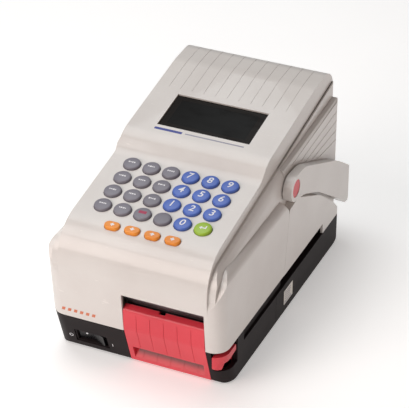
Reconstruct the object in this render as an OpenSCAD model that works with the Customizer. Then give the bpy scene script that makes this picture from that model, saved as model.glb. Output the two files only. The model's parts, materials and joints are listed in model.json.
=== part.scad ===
// Stand-alone desktop label printer: console with 28 keys and a display on a lift-up
// cover, carry handle, label door, and the thermal print mechanism inside.
// Millimetres, +Z up, front towards -Y, origin on the table under the middle.

/* [Body] */
// Width over the side walls
body_w = 168; // [164:1:172]
// Width of the raised console
console_w = 141; // [138:1:143]
// Width of the upper rear body, between the handle arms
upper_w = 155; // [154:0.5:155.5]
// Wall thickness of the mouldings
wall = 2.5; // [2:0.1:3]
// Backwards lean of the front face, in millimetres for each millimetre of height
front_lean = 0.098; // [0.08:0.002:0.11]
// Backwards lean of the dark lower front
bezel_lean = 0.34; // [0.3:0.01:0.36]
// Position of the rear wall along Y
rear_y = 134; // [133:0.5:135]

/* [Console] */
// Tilt of the keypad and of the display, in degrees
top_tilt = 9.5; // [9:0.1:10]
// Height of the keypad face at the first row of keys
keypad_z = 148.7; // [148:0.1:149.5]
// Rise from the keypad face to the display face
step_rise = 10.3; // [9:0.1:11]
// Rounding of the nose where the keypad face meets the front
nose_r = 37; // [30:1:40]
// Height of the crown above the rear wall
crown_z = 184.5; // [184:0.1:186]

/* [Keys] */
// Distance between key columns
pitch_x = 19; // [18.5:0.1:19.2]
// Distance between key rows
pitch_y = 19.6; // [19:0.1:20]
// Diameter of a round key
key_d = 15.8; // [15:0.1:16.4]
// Height of a key above the keypad face
key_h = 3; // [2:0.1:4]
// Travel of a key
key_travel = 1.5; // [1:0.1:1.5]
// Gap round a key in its hole
key_gap = 0.4; // [0.3:0.05:0.5]

/* [Display] */
// Width of the display window
lcd_w = 90; // [84:1:92]
// Length of the display window along the slope
lcd_l = 46.5; // [42:0.5:48]
// Depth of the window below the face round it
lcd_sink = 1.3; // [0.8:0.1:1.6]

/* [Front] */
// Left edge of the label door opening
door_x0 = -11; // [-12:0.5:-10]
// Right edge of the label door opening
door_x1 = 67; // [66:0.5:68]
// Top of the label opening above the door
exit_z = 82; // [80:0.5:83]
// Height of the door's front ridge
door_z = 66; // [65:0.5:67]
// Height at which the light cover meets the dark lower front
split_z = 42.5; // [42:0.5:43]

/* [Handle] */
// Height of the handle pivot
pivot_z = 126; // [125:0.5:127]
// Thickness of each handle arm
arm_t = 8.4; // [7:0.2:8.6]
// Radius of the round end of an arm
boss_r = 12.5; // [11.5:0.5:12.5]
// Radius of the pivot peg
peg_r = 6; // [5:0.5:7]

/* [Mechanism] */
// Radius of the rubber platen roller
platen_r = 7; // [6:0.5:7]
// Gear module
gear_m = 0.8; // [0.8:0.1:0.8]
// Teeth on the platen gear
platen_teeth = 30; // [30:1:30]
// Teeth on the idler gear
idler_teeth = 24; // [24:1:24]
// Teeth on the motor pinion
pinion_teeth = 15; // [15:1:15]
// Radius of a full label roll
roll_r = 46; // [35:1:48]
// Width of the label roll
roll_w = 58; // [50:1:60]

/* [Hidden] */
$fn = 48;
arc_steps = 10;
foot_h = 1.5;
slope = tan(top_tilt);
key_y = -52;
key_names = [
    ["key_f1", "key_f2", "key_f3", "key_7", "key_8", "key_9"],
    ["key_f4", "key_f5", "key_f6", "key_4", "key_5", "key_6"],
    ["key_f7", "key_f8", "key_f9", "key_1", "key_2", "key_3"],
    ["key_f10", "key_f11", "key_stop", "key_blank", "key_0", "key_enter"]
];
arrow_names = ["key_left", "key_down", "key_up", "key_right"];

// Colours
shell_colour = "#d8d2ca";
dark_colour = "#2c2a2e";
red_colour = "#d5424e";
grey_key = "#85828f";
blue_key = "#5a73bb";
green_key = "#9dbb3a";
orange_key = "#e39138";
steel = "#a9adb2";

// Fine grooves over the crown
groove_pitch = 11.6;
groove_w = 0.5;
groove_deep = 0.3;
groove_y = 48;

// Derived places. Y grows to the rear.
half_w = body_w / 2;
half_c = console_w / 2;
half_u = upper_w / 2;
gap = 0.5;
// Seam between the cover and the rear shell
seam_gap = 0.3;
cover_back_y = -2;
// Top edge of the rear side panels, below the ridge line
panel_z = 145.8;
panel_tilt = 3.6;
ridge_drop = 10.5;
step_y0 = -38.5;
step_y1 = -22.5;
crown_y = 88;
lcd_y = 17.4;
front_split_y = -148.5;
shoulder_z = 119.5;
corner_r = 14;
pivot_y = 5;
seam_lean = 0.16;
seam_y0 = -12.6;
side_seam_y = -30;
ledge_z = 31;
slot_y1 = 84;
cover_rear_z = 147.5;
hinge_y = rear_y + 2;
hinge_z = 147;
barrel_r = 4.4;
pin_r = 2;
run_gap = 0.05;
door_hinge_y = -129;
door_hinge_z = 12;
latch_y = -104;
latch_z = 14;
stud_y = -112;
stud_z = 64;
handle_rear_y = 153;
board_drop = 14;
floor_z = foot_h + wall;
screw_x = 70;
screw_ys = [-22, 108];
arm_x1 = 87;
arm_x0 = arm_x1 - arm_t;
head_x0 = door_x0 + 3;
head_x1 = door_x1 - 3;
platen_y = -130;
platen_z = 66;
shaft_r = 3;
frame_t = 2;
motor_y = -103;
motor_z = 42;
motor_half = 17;
gear_x0 = door_x0 - 9;
gear_x1 = door_x0 - 4.5;
platen_pr = gear_m * platen_teeth / 2;
idler_pr = gear_m * idler_teeth / 2;
pinion_pr = gear_m * pinion_teeth / 2;
// The idler meshes with both: it sits where two circles round their axes cross
mesh_gap = 0.12;
reach_1 = platen_pr + idler_pr + mesh_gap;
reach_2 = idler_pr + pinion_pr + mesh_gap;
train = [motor_y - platen_y, motor_z - platen_z];
train_l = norm(train);
train_u = train / train_l;
along = (reach_1 * reach_1 - reach_2 * reach_2 + train_l * train_l) / (2 * train_l);
aside = sqrt(reach_1 * reach_1 - along * along);
idler_y = platen_y + along * train_u[0] + aside * train_u[1];
idler_z = platen_z + along * train_u[1] - aside * train_u[0];
// Directions of the two meshes, and the tooth phases that bring a gap to each tooth
mesh_1 = atan2(idler_z - platen_z, idler_y - platen_y);
mesh_2 = atan2(motor_z - idler_z, motor_y - idler_y);
idler_phase = mesh_1 + 180 + 180 / idler_teeth;
idler_step = 360 / idler_teeth;
lead = (mesh_2 - idler_phase) - idler_step * floor((mesh_2 - idler_phase) / idler_step);
pinion_phase = mesh_2 + 180 + lead * idler_teeth / pinion_teeth + 180 / pinion_teeth;
roll_y = 74;
roll_z = 94;
roll_x = (door_x0 + door_x1) / 2;
core_r = 12.7;
spindle_r = 11.5;

function keypad_at(y) = keypad_z + (y - key_y) * slope;
function display_at(y) = keypad_at(y) + step_rise;
function ridge_at(y) = keypad_at(y) - ridge_drop;
function front_at(z) = front_split_y - front_lean * (z - split_z);
function bezel_at(z) = front_split_y + bezel_lean * (split_z - z);
function seam_at(z) = seam_y0 + seam_lean * (z - split_z);

// Corner where the front face would meet the keypad face with no rounding
nose_y = (front_at(keypad_at(key_y)) + front_lean * slope * key_y)
    / (1 + front_lean * slope);
nose_z = keypad_at(nose_y);

// Outline helpers. A point is [y, z, corner radius].
function unit(v) = v / norm(v);
function flat(p) = [p[0], p[1]];
function corner(a, b, c, r) =
    let (u = unit(a - b), v = unit(c - b), half = acos(u * v) / 2)
    let (m = b + unit(u + v) * r / sin(half))
    let (s = b + u * r / tan(half) - m, e = b + v * r / tan(half) - m)
    let (a0 = atan2(s[1], s[0]), turn = atan2(e[1], e[0]) - a0)
    let (d = (turn + 540) % 360 - 180)
    [for (i = [0:arc_steps]) m + r * [cos(a0 + d * i / arc_steps), sin(a0 + d * i / arc_steps)]];
function rounded(p) =
    let (n = len(p))
    [for (i = [0:n - 1])
        each p[i][2] > 0
            ? corner(flat(p[(i + n - 1) % n]), flat(p[i]), flat(p[(i + 1) % n]), p[i][2])
            : [flat(p[i])]];

// Extrusions: a Y-Z outline across the machine, an X-Z outline along it
module across(x0, x1) {
    translate([x0, 0, 0]) rotate([90, 0, 90]) linear_extrude(height = x1 - x0) children();
}
module lengthways(y0, y1) {
    translate([0, y1, 0]) rotate([90, 0, 0]) linear_extrude(height = y1 - y0) children();
}
module rod(x0, x1, y, z, r) {
    translate([x0, y, z]) rotate([0, 90, 0]) cylinder(h = x1 - x0, r = r);
}
module block(x0, x1, y0, y1, z0, z1) {
    translate([x0, y0, z0]) cube([x1 - x0, y1 - y0, z1 - z0]);
}
module both_sides() {
    children();
    mirror([1, 0, 0]) children();
}
module plan(half, y0, y1, r, z0, z1) {
    outline = [[-half, y0, r], [half, y0, r], [half, y1, r], [-half, y1, r]];
    translate([0, 0, z0]) linear_extrude(height = z1 - z0) polygon(rounded(outline));
}
// Plan outline with round front corners that leans with a face of the given lean
module leaned_plan(side, front, lean) {
    outline = [
        [-half_w + side, 0, corner_r - front], [half_w - side, 0, corner_r - front],
        [half_w - side, 300, 0], [-half_w + side, 300, 0]
    ];
    translate([0, front_split_y + front, split_z])
        rotate([atan(lean), 0, 0])
            linear_extrude(height = 300, center = true) polygon(rounded(outline));
}
module on_keypad() {
    translate([0, key_y, keypad_z]) rotate([top_tilt, 0, 0]) children();
}
module on_display() {
    translate([0, lcd_y, display_at(lcd_y)]) rotate([top_tilt, 0, 0]) children();
}

// Console skin: front face, nose, keypad, step, display face, crown, rear wall
function skin(low) = [
    [front_at(low), low, 0],
    [nose_y, nose_z, nose_r],
    [step_y0, keypad_at(step_y0), 20],
    [step_y1, display_at(step_y1), 28],
    [crown_y, display_at(crown_y), 80],
    [rear_y, crown_z, 22],
    [rear_y, low, 0]
];

// Cross-section of the upper body, square to the slope: sides lean in to the ridge line
module upper_section(inset) {
    translate([0, key_y, keypad_z - ridge_drop]) rotate([top_tilt, 0, 0])
        lengthways(-150, 260)
            offset(delta = -inset)
                polygon([
                    [-half_u, -160], [half_u, -160], [half_u, -9], [half_c + 4, -2.5],
                    [half_c + 2, -0.01], [-half_c - 2, -0.01], [-half_c - 4, -2.5],
                    [-half_u, -9]
                ]);
}

// Cross-section of the wide lower body, with round shoulders
module shoulder_section(inset) {
    lengthways(-200, 200)
        offset(delta = -inset)
            polygon(rounded([
                [-half_w, -20, 0], [half_w, -20, 0],
                [half_w, shoulder_z, 11], [-half_w, shoulder_z, 11]
            ]));
}

module cover_console(inset, low) {
    across(-half_c + inset, half_c - inset) offset(delta = -inset) polygon(rounded(skin(low)));
}
module cover_upper(inset, low, back) {
    intersection() {
        across(-100, 100)
            offset(delta = -inset)
                polygon(rounded([
                    [front_at(low) + 2, low, 0],
                    [front_at(shoulder_z) + 2.5, ridge_at(front_at(shoulder_z)) + 1, 26],
                    [back + cover_back_y, ridge_at(back + cover_back_y) + inset, 0],
                    [back + cover_back_y, 107.5, 0], [back + seam_at(106.5), 106.5, 0],
                    [back + seam_at(low), low, 0]
                ]));
        upper_section(inset);
    }
}
module cover_shoulder(inset, low, back) {
    intersection() {
        across(-100, 100)
            offset(delta = -inset)
                polygon(rounded([
                    [front_at(low), low, 0],
                    [front_at(shoulder_z), shoulder_z, 32],
                    [-12, shoulder_z, 3],
                    [-8, 112, 5],
                    [seam_at(105), 105, 1],
                    each back > 0 ? [[seam_at(105) + back, 105, 0]] : [],
                    [seam_at(low) + back, low, 0]
                ]));
        shoulder_section(inset);
        leaned_plan(inset, inset, front_lean);
    }
}

module key_hole(r) {
    translate([0, 0, -8]) cylinder(h = 12, r = r);
}
module oval(w, l, h) {
    linear_extrude(height = h)
        hull() {
            translate([(l - w) / 2, 0]) circle(d = w);
            translate([(w - l) / 2, 0]) circle(d = w);
        }
}
oval_w = 8.6;
oval_l = 14.4;
function key_x(column) = (column - 2.5) * pitch_x;
function arrow_x(i) = key_x(i + 1);
arrow_y = -4.055 * pitch_y;
arrow_h = 1.3;

lcd_drop = 10.8;
// The cover's back corners pass the handle's round ends at this radius from the hinge
swing_r = norm([hinge_y - pivot_y, hinge_z - pivot_z]) + boss_r + 0.9;

module hinge_cut(x0, x1) {
    both_sides() rod(x0, x1, hinge_y, hinge_z, barrel_r + gap);
}
module hinge_barrel(x0, x1) {
    rod(x0, x1, hinge_y, hinge_z, barrel_r);
}

module top_cover() {
    color(shell_colour)
    difference() {
        union() {
            difference() {
                union() {
                    difference() {
                        cover_console(0, split_z);
                        across(-100, 100)
                            polygon([
                                [cover_back_y, 0], [cover_back_y, ridge_at(cover_back_y)],
                                [rear_y - wall, ridge_at(rear_y - wall)],
                                [rear_y - wall, cover_rear_z], [200, cover_rear_z], [200, 0]
                            ]);
                    }
                    cover_upper(0, split_z, 0);
                    cover_shoulder(0, split_z, 0);
                }
                cover_console(wall, 20);
                cover_upper(wall, 20, 20);
                cover_shoulder(wall, 20, 20);
                // room to swing up past the handle's pivot
                both_sides() rod(half_u + 0.01, 100, hinge_y, hinge_z, swing_r);
            }
            // posts of the display board
            on_display()
                for (x = [-50, 50], y = [-20, 20])
                    translate([x, y, -lcd_drop]) cylinder(h = lcd_drop - 1, r = 2);
            // knuckles of the rear hinge
            both_sides() {
                hinge_barrel(36, 48);
                block(36, 48, rear_y - wall, rear_y, hinge_z - 1, cover_rear_z + 2);
            }
            // posts that the key board is screwed to
            on_keypad()
                for (x = [-64, 64], y = [6, -74])
                    translate([x, y, -board_drop]) cylinder(h = board_drop - 1, r = 3);
            // studs that the latch hooks sit in front of
            both_sides() rod(72.8, half_w - 1, stud_y, stud_z, 2.5);
        }
        on_keypad() {
            for (row = [0:3], column = [0:5])
                translate([key_x(column), -row * pitch_y, 0]) key_hole(key_d / 2 + key_gap);
            for (i = [0:3])
                translate([arrow_x(i), arrow_y, -8])
                    oval(oval_w + 2 * key_gap, oval_l + 2 * key_gap, 12);
        }
        on_display() cube([lcd_w, lcd_l, 20], center = true);
        // opening for the label door
        block(door_x0, door_x1, -170, -138, 0, exit_z);
        // fine grooves over the crown, behind the display
        for (i = [-5:5])
            across(i * groove_pitch - groove_w / 2, i * groove_pitch + groove_w / 2)
                difference() {
                    translate([groove_y, 120]) square([100, 80]);
                    offset(delta = -groove_deep) polygon(rounded(skin(split_z)));
                    translate([rear_y - 6, 0]) square([50, 170]);
                }
        hinge_cut(47.6, 60.4);
        both_sides() rod(30, 62, hinge_y, hinge_z, pin_r + run_gap);
    }
}

// The window fills the opening and has a flange glued to the inside of the cover
window_lap = 2.5;
window_t = 1.5;
module plate(w, l, z0, z1) {
    translate([-w / 2, -l / 2, z0]) cube([w, l, z1 - z0]);
}
module display_window() {
    color("#16191c")
        on_display() {
            plate(lcd_w - 0.3, lcd_l - 0.3, -wall, -lcd_sink);
            plate(lcd_w + 2 * window_lap, lcd_l + 2 * window_lap, -wall - window_t, -wall - 0.05);
        }
}

module display_module() {
    color("#3f6b4a") on_display() plate(104, 48, -lcd_drop - 1.6, -lcd_drop);
    color("#8f979c") on_display() plate(85, 41, -lcd_drop, -wall - window_t - 0.5);
}

module key_mat() {
    color("#6f6d78")
        on_keypad()
            translate([-60, -84.6, -8]) cube([120, 94.6, 1.6]);
}

module key_board() {
    color("#2f6b45")
        on_keypad() translate([-67, -90, -board_drop - 1.6]) cube([134, 102, 1.6]);
}

// A round key: cap above the face, skirt below it
module round_key(row, column, colour) {
    color(colour)
        on_keypad()
            translate([key_x(column), -row * pitch_y, -4.5]) {
                cylinder(h = 4.5 + key_h - 1, r = key_d / 2);
                translate([0, 0, 4.5 + key_h - 1])
                    cylinder(h = 1, r1 = key_d / 2, r2 = key_d / 2 - 1);
            }
}
module arrow_key(i) {
    color(orange_key)
        on_keypad()
            translate([arrow_x(i), arrow_y, -4.5]) oval(oval_w, oval_l, 4.5 + arrow_h);
}
function key_colour(row, column) =
    row == 3 && column == 5 ? green_key
    : row == 3 && column == 3 ? grey_key
    : column > 2 ? blue_key
    : grey_key;

// Channel across the cover, fixed to its side walls, with the hanger of the print head
head_pin_y = -100;
head_pin_z = 85;
module head_bracket() {
    span = half_w - wall - 0.03;
    color(steel)
        difference() {
            union() {
                across(-span, span)
                    polygon([
                        [-104, 101], [-86, 101], [-86, 110], [-88, 110], [-88, 103],
                        [-102, 103], [-102, 110], [-104, 110]
                    ]);
                both_sides() block(span - 2, span, -104, -86, 86, 110);
                across(head_x0, head_x1)
                    polygon([[-132, 94], [-86, 94], [-86, 102], [-88, 102], [-88, 96], [-132, 96]]);
                for (x = [head_x0, head_x1 - frame_t])
                    block(x, x + frame_t, -108, -92, 80, 95);
            }
            rod(head_x0 - 1, head_x1 + 1, head_pin_y, head_pin_z, pin_r + run_gap);
        }
}

module print_head() {
    color("#c9cdd1")
        across(head_x0 + 3, head_x1 - 3)
            polygon([
                [-138, platen_z + platen_r + 0.4], [-120, platen_z + platen_r + 0.4],
                [-98, 81], [-96, 84], [-97, 88], [-120, 80], [-136, 80]
            ]);
    color("#c9cdd1") rod(head_x0, head_x1, head_pin_y, head_pin_z, pin_r);
}

// Outline of the wide rear body under the handle arms
function hump(low) = [
    [seam_at(low) + seam_gap, low, 0],
    [seam_at(104) + seam_gap, 104, 0],
    [seam_at(106) + seam_gap, 106.5, 2],
    [17, 109, 14],
    [76, 79, 160],
    [112, 50, 100],
    [rear_y, 28, 4],
    [rear_y, low, 0]
];
module shell_hump(inset, low) {
    intersection() {
        across(-100, 100) offset(delta = -inset) polygon(rounded(hump(low)));
        plan(half_w - inset, -100, rear_y - inset, corner_r, 0, 200);
        lengthways(-200, 200)
            offset(delta = -inset)
                polygon([[-half_w, -20], [half_w, -20], [half_w, 118], [-half_w, 118]]);
    }
}
// Rear body above the hump: a wide panel on each side, and narrower walls up to the cover
module shell_panel(inset, low) {
    front = cover_back_y + seam_gap;
    intersection() {
        across(-100, 100)
            offset(delta = -inset)
                polygon(rounded([
                    [front, low, 0], [front, panel_z, 0],
                    [rear_y, panel_z + (rear_y - front) * tan(panel_tilt), 7], [rear_y, low, 0]
                ]));
        translate([0, front, panel_z]) rotate([panel_tilt, 0, 0])
            lengthways(-40, 200)
                offset(delta = -inset)
                    polygon([
                        [-half_u, -160], [half_u, -160], [half_u, -4.5], [half_u - 1.2, -1.4],
                        [half_u - 4, 0], [4 - half_u, 0], [1.2 - half_u, -1.4], [-half_u, -4.5]
                    ]);
        plan(half_u - inset, -60, rear_y - inset, 6, 0, 220);
    }
}
module shell_upper(inset, low) {
    front = cover_back_y + seam_gap;
    shell_panel(inset, low);
    intersection() {
        across(-half_c - 2 + inset, half_c + 2 - inset)
            offset(delta = -inset)
                polygon([
                    [front, low], [front, ridge_at(front) - seam_gap],
                    [rear_y, ridge_at(rear_y) - seam_gap], [rear_y, low]
                ]);
        plan(half_c + 2 - inset, -60, rear_y - inset, 6, 0, 220);
    }
}

// Fan of fine grooves on each side, spreading towards the rear edge
module side_grooves() {
    for (i = [0:4])
        translate([half_u - 0.6, rear_y - 3, 150.2 - 10.3 * i])
            rotate([4.2 - 0.6 * i * i, 0, 0])
                translate([0, 14 * i - 116, -0.4]) cube([3, 140 - 14 * i, 0.8]);
}

module rear_shell() {
    color(shell_colour)
    difference() {
        union() {
            difference() {
                union() {
                    shell_hump(0, ledge_z + gap);
                    shell_upper(0, ledge_z + gap);
                }
                shell_hump(wall, 0);
                shell_upper(wall, 0);
                // open front and top, where the cover closes the body
                across(-half_u + wall, half_u - wall)
                    polygon([[-60, 0], [-60, panel_z - wall], [10, panel_z - wall], [10, 0]]);
                across(-half_w + wall, half_w - wall)
                    polygon([[-60, 0], [-60, 100], [10, 100], [10, 0]]);
                across(-half_c - gap, half_c + gap)
                    polygon([
                        [-60, 120], [-60, 240], [200, 240], [200, cover_rear_z - 1],
                        [rear_y - wall, cover_rear_z - 1], [rear_y - wall, 120]
                    ]);
                // raised lower edge over the side slots
                block(-100, 100, -60, slot_y1, 0, split_z - 0.5);
            }
            both_sides() {
                rod(half_u - wall, arm_x1 - 2.6, pivot_y, pivot_z, peg_r);
                hinge_barrel(48.4, 60);
                block(48.4, 60, rear_y - wall, rear_y, cover_rear_z - 6, hinge_z);
            }
        }
        both_sides() side_grooves();
        hinge_cut(30, 48.2);
        both_sides() rod(30, 62, hinge_y, hinge_z, pin_r);
        // openings for the rear sockets
        block(-64, -50, rear_y - 5, rear_y + 5, 36, 48);
        block(-42, -8, rear_y - 5, rear_y + 5, 36, 49);
    }
}

module hinge_pins() {
    color(steel) both_sides() rod(36.2, 59.8, hinge_y, hinge_z, pin_r);
}

// Outline of the handle seen from the side, at rest
handle_outline = [
    [pivot_y, pivot_z + boss_r, 0],
    [26, 137.5, 40],
    [110, 98.5, 150],
    [handle_rear_y, 68.5, 5],
    [144, 36.5, 5],
    [134, 38.5, 3],
    [112, 56, 90],
    [60, 92, 150],
    [24, 109.5, 60],
    [pivot_y, pivot_z - boss_r, 0]
];
module carry_handle() {
    color(shell_colour)
    difference() {
        intersection() {
            union() {
                across(-arm_x1, arm_x1) polygon(rounded(handle_outline));
                rod(-arm_x1, arm_x1, pivot_y, pivot_z, boss_r);
            }
            difference() {
                plan(arm_x1, -80, handle_rear_y, 12, 0, 200);
                across(-arm_x0, arm_x0)
                    polygon([[-90, 0], [-90, 210], [146, 210], [146, 74], [136.2, 38], [136.2, 0]]);
            }
        }
        both_sides() {
            rod(arm_x0 - 1, arm_x1 - 2.4, pivot_y, pivot_z, peg_r + run_gap);
            rod(arm_x1 - 2.5, arm_x1 + 1, pivot_y, pivot_z, 8.5);
        }
    }
}

module handle_caps() {
    color(red_colour) both_sides() rod(arm_x1 - 2, arm_x1 - 0.4, pivot_y, pivot_z, 8.5);
}

// Underside of the main board
board_z = 11;

// Base tray: floor, rear wall and side walls behind the side seam
module tray_outline(inset, front, high) {
    offset(delta = -inset)
        polygon(rounded([
            [front, foot_h, 0], [rear_y, foot_h, 20], [rear_y, high, 0], [front, high, 0]
        ]));
}
module base_tray() {
    color(dark_colour)
    difference() {
        union() {
            difference() {
                intersection() {
                    union() {
                        across(-half_w, half_w) tray_outline(0, side_seam_y, ledge_z);
                        across(-half_w + wall, half_w - wall)
                            tray_outline(0, side_seam_y, split_z - 1);
                    }
                    plan(half_w, -100, rear_y, corner_r, 0, 60);
                }
                intersection() {
                    across(-half_w + 2 * wall, half_w - 2 * wall)
                        tray_outline(wall, side_seam_y - 10, 80);
                    plan(half_w - 2 * wall, -100, rear_y - 2 * wall, corner_r, 0, 60);
                }
                // side slots
                both_sides() block(74, 100, seam_at(ledge_z), slot_y1, ledge_z, 60);
                // rear rim, behind which the rear shell drops
                both_sides() block(half_u - wall - gap, 100, slot_y1, 200, ledge_z, 60);
                both_sides() block(half_u - wall - 7, 100, 120, 200, ledge_z, 60);
                block(-100, 100, rear_y - wall - 0.4, 200, ledge_z, 60);
            }
            // closed sides and floor of the slots
            both_sides() {
                block(71.5, 74, seam_at(ledge_z), slot_y1, ledge_z - 2.5, split_z - 1);
                block(71.5, half_w - 1, seam_at(ledge_z), slot_y1, ledge_z - 2.5, ledge_z);
                block(71.5, half_w - 2 * wall, seam_at(ledge_z) - wall, seam_at(ledge_z),
                    ledge_z - 2.5, split_z - 1);
                block(71.5, half_u - wall - gap, slot_y1, slot_y1 + wall, ledge_z - 2.5, split_z - 1);
            }
            // floor under the front mechanism
            block(-half_w + 2 * wall + 0.3, half_w - 2 * wall - 0.3, -117, side_seam_y + 1,
                foot_h, floor_z);
            // bosses for the case screws, stand-offs of the main board
            for (x = [-screw_x, screw_x], y = screw_ys)
                translate([x, y, foot_h]) cylinder(h = 14, r = 4);
            for (x = [-60, -24], y = [-90, 18])
                translate([x, y, foot_h]) cylinder(h = board_z - foot_h, r = 2.5);
        }
        for (x = [-screw_x, screw_x], y = screw_ys)
            translate([x, y, foot_h - 1]) {
                cylinder(h = 20, r = 1.5);
                cylinder(h = 3.5, r = 3.2);
            }
        block(-64, -50, rear_y - 9, rear_y + 5, 36, 48);
        block(-42, -8, rear_y - 9, rear_y + 5, 36, 49);
    }
}

// Power switch, square to the dark front face: local -Y faces out, +Z up the face
switch_w = 33;
switch_h = 16;
switch_x = -47;
switch_z = 17;
rocker_depth = 9;
rocker_tilt = 7;
module on_switch() {
    translate([switch_x, bezel_at(switch_z), switch_z]) rotate([atan(bezel_lean), 0, 0]) children();
}

// Dark lower front, wrapping round both front corners to the side seam
module bezel_outline(inset, high) {
    offset(delta = -inset)
        polygon(rounded([
            [bezel_at(foot_h), foot_h, 6], [bezel_at(high), high, 0],
            [side_seam_y - 0.3, high, 0], [side_seam_y - 0.3, foot_h, 0]
        ]));
}
module front_bezel() {
    color(dark_colour)
    difference() {
        intersection() {
            union() {
                across(-half_w, half_w) bezel_outline(0, ledge_z);
                across(-half_w + wall, half_w - wall) bezel_outline(0, split_z - gap);
                difference() {
                    across(-half_w, half_w) bezel_outline(0, split_z - gap);
                    block(-100, 100, -104, 0, ledge_z, 60);
                }
            }
            leaned_plan(0, 0, bezel_lean);
        }
        // inside, down to a floor that ends in front of the tray's
        intersection() {
            across(-half_w + 2 * wall, half_w - 2 * wall)
                polygon([
                    [bezel_at(floor_z) + wall, floor_z], [bezel_at(60) + wall, 60],
                    [0, 60], [0, -1], [-117.4, -1], [-117.4, floor_z]
                ]);
            leaned_plan(2 * wall, wall, bezel_lean);
        }
        // door opening
        block(door_x0, door_x1, -170, -121, -5, 60);
        // recess of the power switch
        on_switch() cube([switch_w, 30, switch_h], center = true);
        // notch for the release lever
        block(71.5, 90, -160, -118, 18, 60);
    }
}

module rubber_feet() {
    color("#1d1d1f")
        for (x = [-64, 64], y = [-98, 92])
            translate([x, y, 0]) cylinder(h = foot_h, r = 6);
}

// Metal frame round the print mechanism, with the peel bar and a pillar for each roll arm
module chassis() {
    color(steel)
    difference() {
        union() {
            for (x = [door_x0 - 3, door_x1 + 1])
                across(x, x + frame_t)
                    polygon([
                        [-131.5, floor_z], [-137.5, 22], [-138, 60], [-138, 75], [-134, 79],
                        [-122, 79], [-108, 66], [-70, 66], [-66, floor_z]
                    ]);
            block(door_x0 - 3, door_x1 + 3, -116, -66, floor_z, floor_z + frame_t);
            // peel bar
            across(door_x0 - 3, door_x1 + 3)
                polygon([[-140.4, 74], [-139, 74], [-137.6, 67], [-139, 67]]);
            // stud that the idler gear turns on
            rod(gear_x0 - 1, door_x0 - 2, idler_y, idler_z, 2);
        }
        rod(door_x0 - 5, door_x1 + 5, platen_y, platen_z, shaft_r + run_gap);
        rod(door_x0 - 5, door_x0 + 1, motor_y, motor_z, 6);
        rod(-100, 100, door_hinge_y, door_hinge_z, 2 + run_gap);
        rod(-100, 100, latch_y, latch_z, 3 + run_gap);
    }
}

// Label door: ridge, face with upright grooves, and a finger recess at the foot
recess_z1 = 22;
recess_z0 = 7;
module recess_outline() {
    polygon([
        [bezel_at(recess_z1) - 5, recess_z1], [-133, recess_z1], [-131.5, recess_z1 - 4],
        [bezel_at(recess_z0) - 0.8, recess_z0], [bezel_at(recess_z0) - 6, recess_z0]
    ]);
}
// Thin slices across the door where its grooves run
module door_slices() {
    groove = 0.4;
    for (i = [1:5])
        across(door_x0 + 13 * i - groove / 2, door_x0 + 13 * i + groove / 2) children();
}
module dispense_door() {
    color(red_colour)
    difference() {
        union() {
            across(door_x0 + 0.4, door_x1 - 0.4)
                polygon(rounded([
                    [bezel_at(3), 3, 1], [bezel_at(23), 23, 1.5], [front_at(46) - 0.5, 46, 20],
                    [front_at(door_z) + 0.5, door_z, 2.5], [-143, door_z + 3, 1],
                    [-142, door_z - 6, 0], [-140, 30, 10], [-126, 18, 0], [-126, 6, 4], [-131, 3, 2]
                ]));
            rod(door_x0 - 2.8, door_x1 + 2.8, door_hinge_y, door_hinge_z, 2);
        }
        across(door_x0 + 5, door_x1 - 5) recess_outline();
        door_slices() {
            offset(delta = 0.3) recess_outline();
            polygon([
                [bezel_at(24) - 5, 24], [bezel_at(24) + 0.3, 24], [front_at(46), 46],
                [front_at(62) + 0.8, 62], [front_at(62) - 8, 62]
            ]);
        }
        // notch in the top edge
        block(22, 28, -146.5, -120, door_z - 1, door_z + 10);
        // seats of the pinch roller
        block(6, 50, -146, -130, 46, 56);
        rod(2, 54, -140, 51, 1.5 + run_gap);
    }
}

module pinch_roller() {
    color("#3a3a3d") rod(8, 48, -140, 51, 3.4);
    color(steel) rod(2.2, 53.8, -140, 51, 1.5);
}

// Release lever: a tab under the front right corner on an arm that turns the latch shaft
module release_lever() {
    color(red_colour)
        difference() {
            intersection() {
                union() {
                    across(72.5, half_w)
                        polygon(rounded([
                            [-149, 29, 2], [-149, 37, 3], [-121, 38, 1], [-121, 32, 1],
                            [-141, 30, 1], [-143, 24, 1], [-146, 24, 1]
                        ]));
                    across(76.2, 78.5)
                        polygon([
                            [-143, 24], [-143, 31], [-121, 35], [latch_y + 5, latch_z + 4],
                            [latch_y + 5, latch_z - 6], [latch_y - 5, latch_z - 6], [-126, 26]
                        ]);
                }
                plan(half_w - 0.2, front_split_y + 1, 0, corner_r, 0, 60);
            }
            rod(70, 90, latch_y, latch_z, 3.01);
        }
}

// Latch shaft with a hook at each end, standing in front of the cover's studs
module latch_shaft() {
    color(steel) {
        rod(-76.6, 78.5, latch_y, latch_z, 3);
        both_sides()
            across(73, 75.6)
                polygon([
                    [latch_y - 6, latch_z - 5], [latch_y + 5, latch_z - 5],
                    [latch_y + 5, latch_z + 5], [-114, 40], [-116, 56],
                    [-116, 65], [-121, 67], [-121, 40]
                ]);
    }
}

module power_rocker() {
    color("#101012")
        on_switch()
            translate([0, rocker_depth, 0]) rotate([0, 0, -rocker_tilt])
                translate([0, -rocker_depth, -6.4]) linear_extrude(height = 12.8)
                    difference() {
                        polygon([[-13, 1.5], [0, 4], [13, 1.5], [13, 7], [3, 12], [-3, 12], [-13, 7]]);
                        translate([0, rocker_depth]) circle(r = 1.5 + run_gap);
                    }
}
module switch_body() {
    color("#17171a")
        on_switch() {
            difference() {
                translate([-switch_w / 2 + 0.3, 1, -switch_h / 2 + 0.3])
                    cube([switch_w - 0.6, 19, switch_h - 0.6]);
                translate([-14.8, 0, -6.8]) cube([29.6, 14.5, 13.6]);
            }
            translate([0, rocker_depth, -7.4]) cylinder(h = 14.8, r = 1.5);
        }
}

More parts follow.
